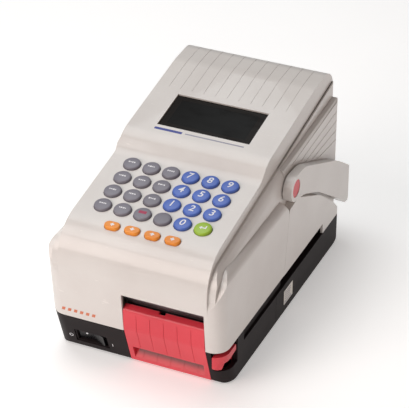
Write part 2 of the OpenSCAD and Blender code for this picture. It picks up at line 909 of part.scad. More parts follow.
module platen_roller() {
    color("#2d2d30") rod(head_x0, head_x1, platen_y, platen_z, platen_r);
    color(steel) {
        rod(gear_x0 - 1.5, head_x0, platen_y, platen_z, shaft_r);
        rod(head_x1, door_x1 + 3.5, platen_y, platen_z, shaft_r);
    }
}

// Spur gear outline with straight-sided teeth, thinned for backlash
function tooth(n, m, a) =
    let (r = m * n / 2, out = r + 0.9 * m, in = r - 1.2 * m, q = 360 / n)
    [
        in * [cos(a - 0.27 * q), sin(a - 0.27 * q)],
        r * [cos(a - 0.205 * q), sin(a - 0.205 * q)],
        out * [cos(a - 0.1 * q), sin(a - 0.1 * q)],
        out * [cos(a + 0.1 * q), sin(a + 0.1 * q)],
        r * [cos(a + 0.205 * q), sin(a + 0.205 * q)],
        in * [cos(a + 0.27 * q), sin(a + 0.27 * q)]
    ];
module gear(n, phase, y, z, bore) {
    translate([0, y, z])
        difference() {
            across(gear_x0, gear_x1)
                polygon([for (i = [0:n - 1]) each tooth(n, gear_m, phase + i * 360 / n)]);
            rod(gear_x0 - 1, gear_x1 + 1, 0, 0, bore);
        }
}
module platen_gear() {
    color("#e8e4da") gear(platen_teeth, mesh_1, platen_y, platen_z, shaft_r + 0.01);
}
module idler_gear() {
    color("#e8e4da") gear(idler_teeth, idler_phase, idler_y, idler_z, 2 + run_gap);
}
module motor_pinion() {
    color("#c7a24a") gear(pinion_teeth, pinion_phase, motor_y, motor_z, 1.5);
    color(steel) rod(gear_x0 - 1, door_x0 + 4, motor_y, motor_z, 1.5);
}

module stepper_motor() {
    color("#55575c")
        difference() {
            union() {
                block(door_x0 - 1, door_x0 + 24, motor_y - motor_half, motor_y + motor_half,
                    motor_z - motor_half, motor_z + motor_half);
                rod(door_x0 - 3, door_x0, motor_y, motor_z, 5.9);
            }
            rod(door_x0 - 4, door_x0 + 6, motor_y, motor_z, 1.5 + run_gap);
        }
}

module label_roll() {
    color("#f1efe9")
        difference() {
            rod(roll_x - roll_w / 2, roll_x + roll_w / 2, roll_y, roll_z, roll_r);
            rod(roll_x - roll_w, roll_x + roll_w, roll_y, roll_z, core_r);
        }
}

// Spindle and side arms that carry the label roll
module roll_holder() {
    arm_x = roll_w / 2 + 4;
    color("#3b3c40") {
        rod(roll_x - arm_x, roll_x + arm_x, roll_y, roll_z, spindle_r);
        for (side = [-1, 1])
            translate([roll_x + side * (arm_x + 1), 0, 0])
                across(-1, 1)
                    polygon(rounded([
                        [roll_y - 22, floor_z, 0], [roll_y - 16, roll_z + 16, 14],
                        [roll_y + 16, roll_z + 16, 14], [roll_y + 22, floor_z, 0]
                    ]));
    }
}

// Main board with three chips and a capacitor block, seated a little into it
module main_board() {
    seat = board_z + 1.2;
    color("#2f6b45") block(-64, -20, -96, 24, board_z, board_z + 1.6);
    color("#222326") {
        block(-54, -36, -60, -42, seat, seat + 2.6);
        block(-56, -44, -30, -14, seat, seat + 2.6);
        block(-34, -26, -86, -64, seat, seat + 4.6);
    }
    color("#b7babd") block(-61, -49, -6, 14, seat, seat + 14);
}

module power_supply() {
    color("#9ea2a6") block(-64, -20, 34, 112, floor_z, 34);
}

// Power inlet and data socket in the rear wall
module rear_sockets() {
    color("#1b1b1d")
        difference() {
            block(-63.6, -50.4, rear_y - 16, rear_y, 36.4, 47.6);
            translate([-57, rear_y + 1, 42]) rotate([90, 0, 0]) cylinder(h = 11, r = 3.2);
        }
    color("#b7babd") translate([-57, rear_y - 1, 42]) rotate([90, 0, 0]) cylinder(h = 9.2, r = 1);
    color("#b7babd")
        difference() {
            block(-41.6, -8.4, rear_y - 14, rear_y, 36.4, 48.6);
            lengthways(rear_y - 6, rear_y + 1)
                polygon([[-35, 38.5], [-15, 38.5], [-13, 46.5], [-37, 46.5]]);
        }
}

module case_screws() {
    color(steel)
        for (x = [-screw_x, screw_x], y = screw_ys)
            translate([x, y, 0]) {
                difference() {
                    translate([0, 0, 2]) cylinder(h = 2, r = 3);
                    block(-2.4, 2.4, -0.4, 0.4, 1, 2.9);
                    block(-0.4, 0.4, -2.4, 2.4, 1, 2.9);
                }
                translate([0, 0, 4]) cylinder(h = 11, r = 1.5);
            }
}

for (row = [0:3], column = [0:5])
    round_key(row, column, key_colour(row, column));
for (i = [0:3])
    arrow_key(i);
top_cover();
display_window();
display_module();
key_mat();
key_board();
head_bracket();
print_head();
rear_shell();
base_tray();
front_bezel();
rubber_feet();
chassis();
hinge_pins();
carry_handle();
handle_caps();
dispense_door();
pinch_roller();
release_lever();
latch_shaft();
power_rocker();
switch_body();
platen_roller();
platen_gear();
idler_gear();
motor_pinion();
stepper_motor();
label_roll();
roll_holder();
main_board();
power_supply();
rear_sockets();
case_screws();
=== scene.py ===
# %% [markdown]
# # A desktop label printer
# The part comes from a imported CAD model: one mesh for each piece, in metres, on fixed joints.
# This script gives it its looks. It never moves a CAD piece. Where a piece needs soft edges or
# finer detail, a new mesh is built from it and stands for it on the same body.

import json
import math

import bmesh
import bpy
from mathutils import Matrix, Vector
from mathutils.bvhtree import BVHTree


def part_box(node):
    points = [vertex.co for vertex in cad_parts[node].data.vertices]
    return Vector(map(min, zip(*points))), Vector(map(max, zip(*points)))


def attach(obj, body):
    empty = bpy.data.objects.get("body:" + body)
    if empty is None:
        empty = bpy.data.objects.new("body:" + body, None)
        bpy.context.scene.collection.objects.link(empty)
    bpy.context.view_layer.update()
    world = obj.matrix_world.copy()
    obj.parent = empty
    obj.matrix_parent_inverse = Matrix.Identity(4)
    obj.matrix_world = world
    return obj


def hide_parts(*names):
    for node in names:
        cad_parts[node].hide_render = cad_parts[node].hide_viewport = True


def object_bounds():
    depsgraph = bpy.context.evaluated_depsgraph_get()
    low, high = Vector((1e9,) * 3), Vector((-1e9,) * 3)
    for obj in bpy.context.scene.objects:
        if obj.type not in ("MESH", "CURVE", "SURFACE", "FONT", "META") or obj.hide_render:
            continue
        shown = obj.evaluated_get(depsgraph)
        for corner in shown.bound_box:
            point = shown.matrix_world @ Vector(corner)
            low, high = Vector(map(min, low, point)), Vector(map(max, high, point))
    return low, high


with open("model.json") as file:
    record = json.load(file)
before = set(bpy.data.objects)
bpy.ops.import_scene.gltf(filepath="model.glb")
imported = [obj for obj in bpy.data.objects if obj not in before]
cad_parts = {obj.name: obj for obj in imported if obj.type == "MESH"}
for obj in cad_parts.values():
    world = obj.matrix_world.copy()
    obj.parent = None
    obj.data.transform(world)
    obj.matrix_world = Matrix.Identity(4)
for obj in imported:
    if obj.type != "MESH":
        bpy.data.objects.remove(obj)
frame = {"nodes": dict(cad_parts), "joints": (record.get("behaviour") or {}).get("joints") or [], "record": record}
cad_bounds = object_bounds()
nodes = frame["nodes"]
body_of = {n: b for b, ns in frame["record"]["behaviour"]["bodies"].items() for n in ns}
slot_of = {s["node"]: s["material_slot"] for s in frame["record"]["subparts"]}
joint = {j["name"]: j for j in frame["joints"]}
MM = 0.001
print("nodes", len(nodes), "box", [[round(v, 4) for v in corner] for corner in cad_bounds])

# %% [markdown]
# ## Camera and light
# A long lens from the front right, well above the keys, gives the calm view of a catalogue:
# upright edges stay nearly parallel. A large cool light overhead and a warm one in front carry
# the picture, a weak warm one keeps the right side a tone darker, and a small one picks out the
# curved nose. A dim sky and the pale floor fill the shadows.

# %% Camera
target = Vector((0.0106, -0.0251, 0.1073))
camera_place = Vector((0.6291, -1.3986, 1.0458))
LENS_MM = 174.2
camera_data = bpy.data.cameras.new("camera")
camera_data.lens = LENS_MM
camera_data.sensor_width = 36.0
camera = bpy.data.objects.new("camera", camera_data)
bpy.context.scene.collection.objects.link(camera)
camera.location = camera_place
camera.rotation_euler = (target - camera_place).to_track_quat("-Z", "Y").to_euler()
bpy.context.scene.camera = camera
print("camera distance", round((target - camera_place).length, 4))


# %% Lights
def soft_light(name, place, size, power, colour):
    """A square area light at place, facing the middle of the object."""
    data = bpy.data.lights.new(name, "AREA")
    data.size = size
    data.energy = power
    data.color = colour
    lamp = bpy.data.objects.new(name, data)
    bpy.context.scene.collection.objects.link(lamp)
    lamp.location = place
    lamp.rotation_euler = (target - Vector(place)).to_track_quat("-Z", "Y").to_euler()
    return lamp


soft_light("overhead_light", (-0.5, 0.35, 1.7), 1.3, 14, (0.93, 0.98, 1.0))
soft_light("front_light", (-0.75, -1.6, 0.85), 1.0, 14.5, (1.0, 0.88, 0.83))
soft_light("right_light", (1.6, -0.5, 0.7), 1.0, 2.2, (1.0, 0.60, 0.45))
soft_light("nose_light", (-0.45, -0.68, 1.07), 0.45, 2.6, (1.0, 0.98, 0.97))
world = bpy.data.worlds.new("studio")
world.use_nodes = True
sky = world.node_tree.nodes["Background"].inputs
sky["Color"].default_value = (1.0, 0.95, 0.92, 1)
sky["Strength"].default_value = 0.17
bpy.context.scene.world = world
bpy.context.scene.view_settings.view_transform = "Standard"
print("lights", len(bpy.data.lights))

# %% [markdown]
# ## Shader arithmetic
# A material is easier to read as a formula than as a picture of boxes. `Value` wraps an output
# socket, so that `speck * 0.2 + 0.4` adds the Math nodes by itself. `Finish` owns one material
# and has a single method that makes any other node.

# %% Values and finishes


class Value:
    """An output socket that Python arithmetic works on."""

    def __init__(self, finish, socket):
        self.finish = finish
        self.socket = socket

    def math(self, operation, first, second):
        return self.finish.node("ShaderNodeMath", {"operation": operation}, {0: first, 1: second})[0]

    def __add__(self, other):
        return self.math("ADD", self, other)

    def __radd__(self, other):
        return self.math("ADD", other, self)

    def __sub__(self, other):
        return self.math("SUBTRACT", self, other)

    def __rsub__(self, other):
        return self.math("SUBTRACT", other, self)

    def __mul__(self, other):
        return self.math("MULTIPLY", self, other)

    def __rmul__(self, other):
        return self.math("MULTIPLY", other, self)


class Finish:
    """One material, made from the object's own coordinates."""

    def __init__(self, name):
        self.material = bpy.data.materials.new(name)
        self.material.use_nodes = True
        self.tree = self.material.node_tree
        self.shader = self.tree.nodes["Principled BSDF"]
        self.place = self.node("ShaderNodeTexCoord")["Object"]

    def connect(self, socket, value):
        if isinstance(value, Value):
            self.tree.links.new(value.socket, socket)
        else:
            socket.default_value = value

    def node(self, kind, settings=None, inputs=None):
        """Adds a node and returns its outputs, by name and by number."""
        made = self.tree.nodes.new(kind)
        for key, value in (settings or {}).items():
            setattr(made, key, value)
        for key, value in (inputs or {}).items():
            self.connect(made.inputs[key], value)
        outputs = {o.name: Value(self, o) for o in made.outputs}
        outputs.update({i: Value(self, o) for i, o in enumerate(made.outputs)})
        return outputs

    def noise(self, scale, detail=3.0, stretch=(1, 1, 1)):
        """Cloudy noise from 0 to 1; scale counts its lumps in a metre."""
        mapped = self.node("ShaderNodeMapping", None, {"Vector": self.place, "Scale": stretch})
        settings = {"Vector": mapped[0], "Scale": scale, "Detail": detail}
        return self.node("ShaderNodeTexNoise", None, settings)[0]

    def limit(self, value, low, high):
        """0 below low, 1 above high, a soft ramp between."""
        settings = {"interpolation_type": "SMOOTHSTEP"}
        return self.node("ShaderNodeMapRange", settings, {0: value, 1: low, 2: high})[0]

    def blend(self, factor, first, second):
        """A colour between two colours."""
        mixer = {"data_type": "RGBA"}
        made = self.node("ShaderNodeMix", mixer, {0: factor})
        node = made[0].socket.node
        for socket, colour in ((node.inputs[6], first), (node.inputs[7], second)):
            self.connect(socket, colour if isinstance(colour, Value) else (*colour, 1.0))
        return Value(self, node.outputs[2])

    def bump(self, height, depth_mm, under=None):
        """Adds relief of that many millimetres to the surface."""
        inputs = {"Height": height, "Distance": depth_mm * MM, "Strength": 1.0}
        if under is not None:
            inputs["Normal"] = under
        return self.node("ShaderNodeBump", None, inputs)["Normal"]

    def surface(self, **inputs):
        """Sets the shader's sockets; an underscore in a name stands for a space."""
        for key, value in inputs.items():
            socket = self.shader.inputs[key.replace("_", " ")]
            self.connect(socket, (*value, 1.0) if isinstance(value, tuple) else value)
        return self.material


# %% [markdown]
# ## Moulded plastics
# Every housing is injection-moulded. Such a surface has a fine spark-eroded grain, faint clouds from uneven
# cooling, and after years on a counter a few hairline scuffs. Towards the floor the colour drifts to a grey-brown,
# and in a recess shade can be painted in as a dark band. One recipe holds all of that, and each plastic gives its
# own colour, gloss and grain.

# %% Plastic finish


def plastic(
    name, colour, shade, gloss=0.42, grain_mm=0.012, floor_tint=0.0, coat=0.0, shine=0.5, painted_shade=None,
):
    """Grained plastic: clouds of a second tone, hairline scuffs, a grey-brown tint near the floor, painted shade
    in a recess.
    """
    f = Finish(name)
    clouds = f.noise(22, 4)
    grain = f.noise(2600, 2)
    scuffs = f.limit(f.noise(90, 6, (1.0, 6.0, 3.0)), 0.66, 0.74)
    height = f.node("ShaderNodeSeparateXYZ", None, {0: f.place})["Z"]
    # Near the floor the colour drifts towards a grey-brown and the surface grows rougher, in cloudy patches.
    low = (1 - f.limit(height, 0.0, 0.09)) * f.noise(60, 5)
    base = f.blend(f.limit(clouds, 0.3, 0.75), colour, shade)
    lighter = tuple(min(1.0, c * 1.25 + 0.02) for c in colour)
    base = f.blend(scuffs * 0.35, base, lighter)
    base = f.blend(low * floor_tint, base, (0.42, 0.38, 0.33))
    # Painted shade: a dark band across the back wall of a recess, where shade falls, taking the plastic close to
    # black.
    if painted_shade is not None:
        (left, right), (front, behind), (foot, full, head) = painted_shade
        axes = f.node("ShaderNodeSeparateXYZ", None, {0: f.place})
        shade_band = f.limit(height, foot, full) * (1 - f.limit(height, head - 0.2 * MM, head))
        shade_band = shade_band * f.limit(axes["Y"], front, behind)
        shade_band = shade_band * f.limit(axes["X"], left, left + 0.3 * MM)
        shade_band = shade_band * (1 - f.limit(axes["X"], right - 0.3 * MM, right))
        base = f.blend(shade_band * (0.7 + clouds * 0.3), base, tuple(c * 0.12 for c in colour))
    rough = gloss + grain * 0.06 + scuffs * 0.12 + low * floor_tint * 0.4
    relief = f.bump(grain, grain_mm)
    f.surface(Specular_IOR_Level=shine, Coat_Weight=coat)
    return f.surface(Base_Color=base, Roughness=rough, Normal=relief)


RED = ((0.74, 0.040, 0.062), (0.66, 0.032, 0.052), 0.36, 0.008, 0.0, 0.15)
# The shell turns darker and warmer towards the floor.
shell = plastic("shell_plastic", (0.71, 0.675, 0.645), (0.665, 0.625, 0.595), 0.30, 0.010, 0.14, 0.3)
dark = plastic("base_plastic", (0.012, 0.008, 0.009), (0.018, 0.013, 0.014), 0.5, 0.016, 0.015, 0.0, 0.12)
red = plastic("red_plastic", *RED)
grey_cap = plastic("grey_key_plastic", (0.225, 0.215, 0.255), (0.19, 0.18, 0.215), 0.38, 0.008)
blue_cap = plastic("blue_key_plastic", (0.085, 0.165, 0.56), (0.07, 0.14, 0.49), 0.34, 0.008)
green_cap = plastic("green_key_plastic", (0.36, 0.56, 0.045), (0.30, 0.48, 0.035), 0.34, 0.008)
orange_cap = plastic("orange_key_plastic", (0.88, 0.30, 0.03), (0.80, 0.25, 0.02), 0.34, 0.008)
# Painted shade on the back wall of the door's finger recess, which lies in shade: its reach across, in depth, and
# from foot to head.
openings = {o["name"]: o["box_m"] for o in frame["record"]["physics"]["openings"]}
recess_low, recess_high = openings["door_finger_recess"]
recess_shade = (
    (recess_low[0] - 0.5 * MM, recess_high[0] + 0.5 * MM),
    (recess_high[1] - 4.0 * MM, recess_high[1] - 2.3 * MM),
    (recess_low[2] - 5.0 * MM, recess_low[2] + 0.5 * MM, recess_high[2] + 1.7 * MM),
)
# The door's red plastic carries that painted shade in its finger recess.
red_door = plastic("red_door_plastic", *RED, painted_shade=recess_shade)
black_gloss = plastic("switch_plastic", (0.006, 0.006, 0.007), (0.011, 0.010, 0.011), 0.24, 0.002, 0, 0, 0.25)
ivory = plastic("gear_plastic", (0.78, 0.74, 0.66), (0.70, 0.66, 0.58), 0.40, 0.006)
white_ink = plastic("white_print", (0.86, 0.86, 0.88), (0.78, 0.78, 0.81), 0.5, 0.003)
blue_ink = plastic("blue_print", (0.05, 0.07, 0.30), (0.07, 0.09, 0.33), 0.5, 0.003)
grey_ink = plastic("grey_print", (0.30, 0.30, 0.38), (0.36, 0.36, 0.43), 0.5, 0.003)
orange_ink = plastic("orange_print", (0.62, 0.17, 0.08), (0.68, 0.24, 0.13), 0.5, 0.003)
red_ink = plastic("red_print", (0.42, 0.04, 0.10), (0.36, 0.035, 0.09), 0.5, 0.003)
print("plastics", len(bpy.data.materials))

# %% [markdown]
# ## The other materials
# The window is a smoked sheet with a slightly lighter display behind it. Metal parts carry
# fine rolling marks, rubber is matt and dusty, and the boards are green lacquer over copper
# tracks. The edge of the label roll shows its layers as thin rings.

# %% Window, metal, rubber, board and paper


def smoked_window(name, centre, half_size, slope):
    """Near-black gloss with the edge of the display showing through, by distance from centre."""
    f = Finish(name)
    from_centre = {"Vector": f.place, "Location": tuple(-c for c in centre)}
    moved = f.node("ShaderNodeMapping", None, from_centre)
    along = {"Vector": moved[0], "Rotation": (-slope, 0, 0)}
    turned = f.node("ShaderNodeMapping", None, along)
    axes = f.node("ShaderNodeSeparateXYZ", None, {0: turned[0]})
    across = f.node("ShaderNodeMath", {"operation": "ABSOLUTE"}, {0: axes["X"]})[0]
    upward = f.node("ShaderNodeMath", {"operation": "ABSOLUTE"}, {0: axes["Y"]})[0]
    inside_x = 1 - f.limit(across, half_size[0] - 0.6 * MM, half_size[0])
    inside_y = 1 - f.limit(upward, half_size[1] - 0.6 * MM, half_size[1])
    display = inside_x * inside_y
    smear = f.limit(f.noise(35, 4, (1, 3, 3)), 0.45, 0.8)
    base = f.blend(display, (0.008, 0.005, 0.0035), (0.003, 0.0022, 0.0018))
    rough = 0.16 + smear * 0.12
    return f.surface(Base_Color=base, Roughness=rough, Specular_IOR_Level=0.05)


def metal(name, colour, roughness=0.32, stretch=(1, 14, 14)):
    """Rolled or turned metal: fine marks along X."""
    f = Finish(name)
    marks = f.noise(420, 5, stretch)
    stains = f.noise(40, 4)
    darker = tuple(c * 0.8 for c in colour)
    base = f.blend(f.limit(stains, 0.35, 0.7), colour, darker)
    rough = roughness + marks * 0.22
    return f.surface(Base_Color=base, Metallic=1.0, Roughness=rough, Normal=f.bump(marks, 0.01))


def rubber(name, colour):
    """Matt rubber with a dusty bloom."""
    f = Finish(name)
    bloom = f.limit(f.noise(120, 5), 0.45, 0.7)
    paler = tuple(c * 1.6 + 0.01 for c in colour)
    base = f.blend(bloom * 0.6, colour, paler)
    grain = f.noise(1800, 3)
    return f.surface(Base_Color=base, Roughness=0.72 + bloom * 0.12, Normal=f.bump(grain, 0.03))


def board(name):
    """Green lacquer with copper tracks under it."""
    f = Finish(name)
    tracks = f.node("ShaderNodeTexBrick", {"offset": 0.37, "squash": 0.8}, {
        "Vector": f.place, "Scale": 240.0, "Mortar Size": 0.09, "Mortar Smooth": 0.2,
    })["Fac"]
    base = f.blend(tracks, (0.014, 0.10, 0.035), (0.045, 0.20, 0.065))
    return f.surface(Base_Color=base, Roughness=0.3 + tracks * 0.1, Normal=f.bump(tracks, 0.03))


def paper_roll(name, axis_y, axis_z):
    """White paper whose cut edge shows the layers round the roll's axis."""
    f = Finish(name)
    centred = {"Vector": f.place, "Location": (0, -axis_y, -axis_z)}
    moved = f.node("ShaderNodeMapping", None, centred)
    rings = f.node("ShaderNodeTexWave", {"wave_type": "RINGS", "rings_direction": "X"}, {
        "Vector": moved[0], "Scale": 420.0, "Distortion": 1.5, "Detail": 3.0,
    })["Fac"]
    base = f.blend(rings * 0.6, (0.86, 0.84, 0.79), (0.70, 0.66, 0.58))
    return f.surface(Base_Color=base, Roughness=0.6 + rings * 0.1, Normal=f.bump(rings, 0.05))


key_slope = math.atan2(joint["key_5_press"]["axis"][1], -joint["key_5_press"]["axis"][2])
window_low, window_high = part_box("display_window")
window_middle = (window_low + window_high) / 2
glass = smoked_window("smoked_window", window_middle, (0.0385, 0.0175), key_slope)
steel = metal("plated_steel", (0.56, 0.57, 0.59))
aluminium = metal("extruded_aluminium", (0.74, 0.75, 0.77), 0.26)
brass = metal("turned_brass", (0.68, 0.47, 0.19), 0.24)
motor_black = metal("motor_steel", (0.10, 0.10, 0.11), 0.38)
black_rubber = rubber("black_rubber", (0.022, 0.022, 0.024))
grey_rubber = rubber("grey_rubber", (0.15, 0.145, 0.17))
lacquer = board("circuit_lacquer")
card = plastic("brown_card", (0.36, 0.24, 0.13), (0.30, 0.195, 0.10), 0.8, 0.02)
roll_pivot = joint["roll_spin"]["pos_m"]
paper = paper_roll("label_paper", roll_pivot[1], roll_pivot[2])
print("materials", len(bpy.data.materials), "key slope", round(math.degrees(key_slope), 2))

FINISHES = {
    "shell": shell, "dark_plastic": dark, "red_plastic": red, "key_grey": grey_cap,
    "key_blue": blue_cap, "key_green": green_cap, "key_orange": orange_cap,
    "switch_black": black_gloss, "window": glass, "circuit_board": lacquer,
    "soft_rubber": grey_rubber, "steel": steel, "aluminium": aluminium,
    "black_rubber": black_rubber, "gear_plastic": ivory, "brass": brass,
    "motor_steel": motor_black, "paper": paper, "socket_plastic": black_gloss,
}
finish_of = {name: FINISHES[slot_of[name]] for name in nodes}
finish_of["dispense_door"] = red_door
for name, obj in nodes.items():
    obj.data.materials.clear()
    obj.data.materials.append(finish_of[name])

# %% [markdown]
# ## Floor
# A single large pale sheet under the object, named floor.

# %% Floor
f = Finish("floor_paper")
pale = f.blend(f.noise(8, 3), (0.93, 0.925, 0.92), (0.90, 0.895, 0.89))
glow = {"Emission_Color": (1.0, 0.995, 0.99), "Emission_Strength": 0.36}
floor_paper = f.surface(Base_Color=pale, Roughness=0.85 + f.noise(600, 2) * 0.1, **glow)
bpy.ops.mesh.primitive_plane_add(size=8, location=(0, 0, 0))
floor = bpy.context.object
floor.name = "floor"
floor.data.materials.append(floor_paper)
print("floor", [round(v, 2) for v in floor.dimensions])

# %% [markdown]
# ## Soft edges on the housings
# No moulded edge is knife sharp: it has a radius that catches a thin line of light. The CAD
# mesh is loose triangles, so a copy is welded first, flat regions are merged, and only then a
# bevel rounds what is still an edge. Weighted normals keep the flats looking flat.

# %% Pieces on the right body


def finish_piece(obj, body, slot, *replaced):
    """Puts a finished piece on its body and hides the CAD pieces it stands for."""
    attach(obj, body)
    if replaced:
        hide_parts(*replaced)
    return obj


def plain_mesh(obj):
    """Applies the modifiers of obj by swapping in its evaluated mesh."""
    bpy.context.view_layer.update()
    shown = obj.evaluated_get(bpy.context.evaluated_depsgraph_get())
    mesh = bpy.data.meshes.new_from_object(shown)
    obj.modifiers.clear()
    obj.data = mesh
    return obj


def softened(node, name, radius_mm, segments=3, edge_angle=28, chosen=None, chosen_mm=2.0):
    """A copy of a CAD node with rounded edges, in the same place; chosen edges get more."""
    work = bmesh.new()
    work.from_mesh(nodes[node].data)
    bmesh.ops.remove_doubles(work, verts=work.verts, dist=3e-6)
    flat = math.radians(0.4)
    bmesh.ops.dissolve_limit(work, angle_limit=flat, verts=work.verts, edges=work.edges)
    if chosen is not None:
        edges = [e for e in work.edges if e.is_convex and chosen(e)]
        bmesh.ops.bevel(
            work, geom=edges, offset=chosen_mm * MM, segments=5, profile=0.5, affect="EDGES",
            clamp_overlap=True,
        )
        print(name, "chosen edges", len(edges))
    mesh = bpy.data.meshes.new(name)
    work.to_mesh(mesh)
    work.free()
    obj = bpy.data.objects.new(name, mesh)
    bpy.context.scene.collection.objects.link(obj)
    mesh.shade_smooth()
    bevel = obj.modifiers.new("round", "BEVEL")
    bevel.width = radius_mm * MM
    bevel.segments = segments
    bevel.limit_method = "ANGLE"
    bevel.angle_limit = math.radians(edge_angle)
    bevel.use_clamp_overlap = True
    normals = obj.modifiers.new("normals", "WEIGHTED_NORMAL")
    normals.keep_sharp = True
    plain_mesh(obj)
    obj.data.materials.clear()
    obj.data.materials.append(finish_of[node])
    return finish_piece(obj, body_of[node], slot_of[node], node)


# %% Round the housings
SOFT_EDGES_MM = {
    "top_cover": 0.7, "rear_shell": 0.7, "base_tray": 0.6, "front_bezel": 0.7,
    "carry_handle": 1.2, "dispense_door": 0.5, "release_lever": 0.6, "handle_caps": 0.4,
    "power_rocker": 0.5, "switch_body": 0.4, "display_window": 0.25, "rubber_feet": 0.4,
    "chassis": 0.3, "head_bracket": 0.3, "print_head": 0.4, "stepper_motor": 0.8,
    "power_supply": 0.8, "roll_holder": 0.4,
}
cover_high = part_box("top_cover")[1]
console_x = max(v.co.x for v in nodes["top_cover"].data.vertices if v.co.z > cover_high.z - 0.004)


def console_edge(edge):
    """The long upper edges of the raised console, above the ridge line."""
    ends = [v.co for v in edge.verts]
    on_side = all(abs(abs(c.x) - console_x) < 2e-5 for c in ends)
    return on_side and edge.calc_face_angle(0) > math.radians(60)


for node, radius in SOFT_EDGES_MM.items():
    chosen = console_edge if node == "top_cover" else None
    piece = softened(node, node + "_moulding", radius, chosen=chosen)
    print(piece.name, len(piece.data.polygons))
print("half width of the console", round(console_x, 5))

# %% [markdown]
# ## Keys
# A key cap is turned, not carved: its outline goes once round an axis. The cap has a rounded
# shoulder and a faint dome. Every cap is built about its own centre with Z out of the keypad,
# and one matrix then lays it on the slope.

# %% Turned shapes


def turned_mesh(name, outline, steps=48):
    """A closed solid from (radius, height) points in millimetres; both ends are on the axis."""
    work = bmesh.new()
    rings = []
    for radius, height in outline:
        if radius == 0:
            rings.append([work.verts.new((0, 0, height * MM))])
            continue
        turn = [2 * math.pi * i / steps for i in range(steps)]
        place = [(radius * MM * math.cos(a), radius * MM * math.sin(a), height * MM) for a in turn]
        rings.append([work.verts.new(p) for p in place])
    for low, high in zip(rings, rings[1:]):
        for i in range(steps):
            j = (i + 1) % steps
            corners = [low[i % len(low)], low[j % len(low)], high[j % len(high)], high[i % len(high)]]
            work.faces.new(list(dict.fromkeys(corners)))
    bmesh.ops.recalc_face_normals(work, faces=work.faces)
    mesh = bpy.data.meshes.new(name)
    work.to_mesh(mesh)
    work.free()
    return mesh


def arc(centre_r, centre_z, radius, start, end, steps=6):
    """Points of an arc, from start to end degrees."""
    turn = [math.radians(start + (end - start) * i / steps) for i in range(steps + 1)]
    return [(centre_r + radius * math.cos(a), centre_z + radius * math.sin(a)) for a in turn]


def on_slope(place):
    """From a flat drawing to the keypad's slope at place."""
    return Matrix.Translation(place) @ Matrix.Rotation(key_slope, 4, "X")


def show(name, mesh, material, matrix=None):
    """A new object for a mesh, placed by changing the mesh."""
    if matrix is not None:
        mesh.transform(matrix)
    mesh.materials.clear()
    mesh.materials.append(material)
    mesh.shade_smooth()
    mesh.set_sharp_from_angle(angle=math.radians(40))
    obj = bpy.data.objects.new(name, mesh)
    bpy.context.scene.collection.objects.link(obj)
    return obj


# %% Round key caps
arrow_keys = ["key_left", "key_down", "key_up", "key_right"]
pressed = [n for n in nodes if n.startswith("key_") and n + "_press" in joint]
round_keys = [n for n in pressed if n not in arrow_keys]
cap_low, cap_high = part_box("key_5")
cap_radius = (cap_high.x - cap_low.x) / 2 / MM
leaned = math.sin(key_slope) * 2 * cap_radius
cap_height = ((cap_high.z - cap_low.z) / MM - leaned) / math.cos(key_slope)
top = cap_height / 2
SHOULDER_MM = 1.5
cap_outline = [(0, -top), (cap_radius, -top), (cap_radius, top - SHOULDER_MM)]
cap_outline += arc(cap_radius - SHOULDER_MM, top - 0.35 - SHOULDER_MM, SHOULDER_MM, 15, 75)
cap_outline += [(cap_radius - 2.6, top - 0.22), (cap_radius - 4.0, top - 0.05), (0, top)]
for node in round_keys:
    low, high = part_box(node)
    mesh = turned_mesh(node + "_cap", cap_outline)
    cap = show(node + "_cap", mesh, FINISHES[slot_of[node]], on_slope((low + high) / 2))
    finish_piece(cap, body_of[node], slot_of[node], node)
print("caps", len(round_keys), "radius", round(cap_radius, 2), "height", round(cap_height, 2))

# %% Oval arrow keys
for node in arrow_keys:
    oval = softened(node, node + "_cap", 1.1, 4)
    print(oval.name, len(oval.data.polygons))

# %% [markdown]
# ## Marks on the keys
# The digits are plain type made into thin solids that sink into the caps like printed ink. The
# function keys carry short strokes instead of words, the arrow keys carry arrows, and the enter
# key a bent arrow. Each mark is its own piece on its key's body, so it moves with the press.

# %% Flat shapes and digits


def flat_shape(name, outlines, thick_mm=0.12):
    """Thin solids from closed outlines in millimetres, drawn seen from above."""
    work = bmesh.new()
    for outline in outlines:
        face = work.faces.new([work.verts.new((x * MM, y * MM, 0)) for x, y in outline])
        if face.normal.z < 0:
            face.normal_flip()
        made = bmesh.ops.extrude_face_region(work, geom=[face])
        for v in (g for g in made["geom"] if isinstance(g, bmesh.types.BMVert)):
            v.co.z -= thick_mm * MM
    bmesh.ops.recalc_face_normals(work, faces=work.faces)
    mesh = bpy.data.meshes.new(name)
    work.to_mesh(mesh)
    work.free()
    return mesh


def bar(x, y, width, height):
    """Corners of an upright rectangle about x, y."""
    w, h = width / 2, height / 2
    return [(x - w, y - h), (x + w, y - h), (x + w, y + h), (x - w, y + h)]


def digit_mesh(name, text, size_mm):
    """A digit as a thin solid, centred on the origin."""
    curve = bpy.data.curves.new(name, "FONT")
    curve.body = text
    curve.size = size_mm * MM
    curve.extrude = 0.07 * MM
    curve.offset = 0.11 * MM
    curve.resolution_u = 6
    curve.shear = 0.12
    drawn = bpy.data.objects.new(name, curve)
    bpy.context.scene.collection.objects.link(drawn)
    bpy.context.view_layer.update()
    shown = drawn.evaluated_get(bpy.context.evaluated_depsgraph_get())
    mesh = bpy.data.meshes.new_from_object(shown)
    bpy.data.objects.remove(drawn)
    bpy.data.curves.remove(curve)
    xs = [v.co.x for v in mesh.vertices]
    ys = [v.co.y for v in mesh.vertices]
    mesh.transform(Matrix.Translation((-(min(xs) + max(xs)) / 2, -(min(ys) + max(ys)) / 2, 0)))
    return mesh


# %% Place the marks


